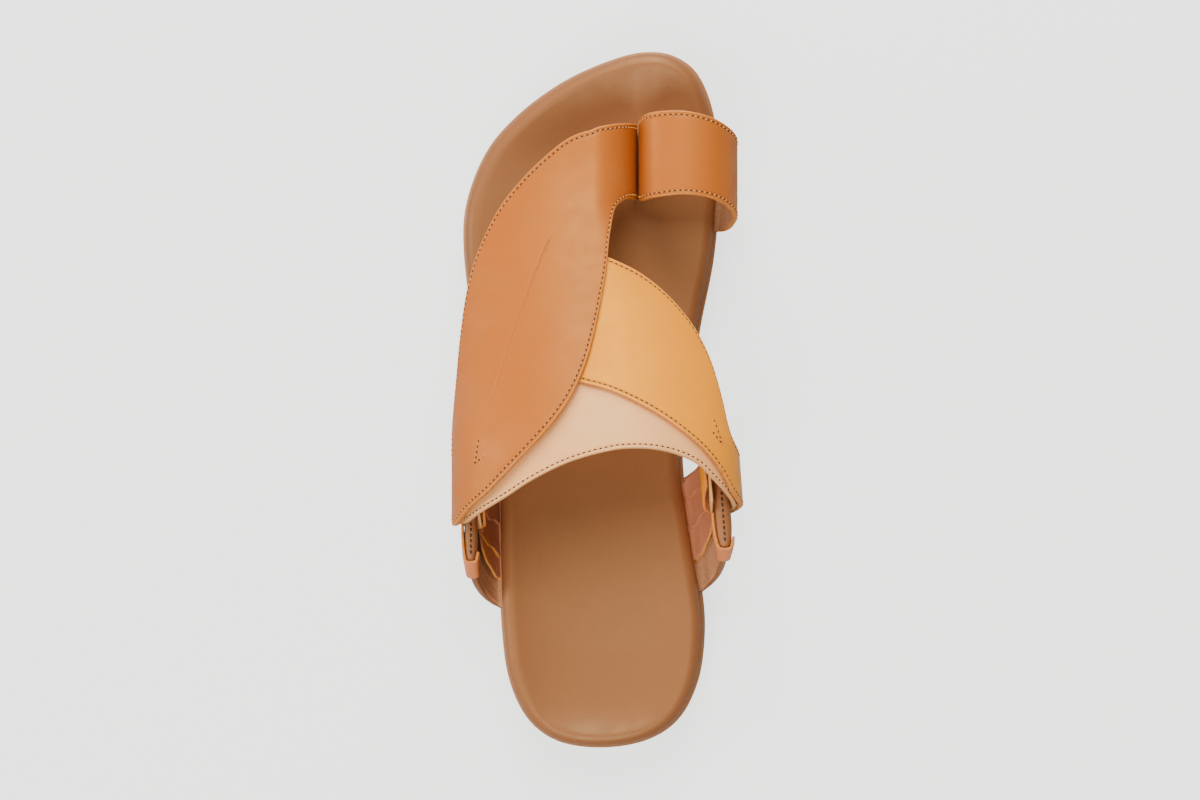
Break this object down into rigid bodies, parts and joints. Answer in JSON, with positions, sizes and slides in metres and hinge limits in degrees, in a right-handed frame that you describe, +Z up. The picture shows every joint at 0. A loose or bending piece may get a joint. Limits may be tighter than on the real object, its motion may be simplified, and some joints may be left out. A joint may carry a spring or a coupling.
{
  "type": "arabic sandal",
  "caption": "Left leather sandal with crossing instep straps hung from side wings, a leaf-shaped main strap and a big-toe ring on a padded footbed.",
  "frame": {"origin": "on the floor under the middle of the heel seat, at the flat heel of the outsole", "axes": "+Y to the toe, +X to the inner (big toe) side, +Z up"},
  "size_m": [0.1134, 0.2799, 0.0837],
  "materials": {
    "outsole_rubber": "matt, fine ribbed tread",
    "wrap_leather": "smooth brown leather wrap",
    "footbed_leather": "smooth padded brown leather, soft sheen",
    "tan_leather": "smooth tan leather, soft sheen, stitched edges",
    "ochre_leather": "smooth ochre leather, soft sheen, stitched edges",
    "beige_leather": "smooth beige leather, stitched edge",
    "wing_leather": "brown leather, folded and stitched, lined",
    "strip_leather": "rust leather strips with raw ochre edges"
  },
  "bodies": {
    "root": {"outsole": "outsole_rubber", "midsole": "wrap_leather", "footbed": "footbed_leather", "main_strap": "tan_leather", "toe_ring": "tan_leather", "cross_strap": "ochre_leather", "instep_band": "beige_leather", "side_wing_lateral": "wing_leather", "side_wing_medial": "wing_leather", "strip_panel_lateral": "strip_leather", "strip_panel_medial": "strip_leather", "sleeve_lateral": "tan_leather", "sleeve_medial": "tan_leather"}
  },
  "joints": []
}
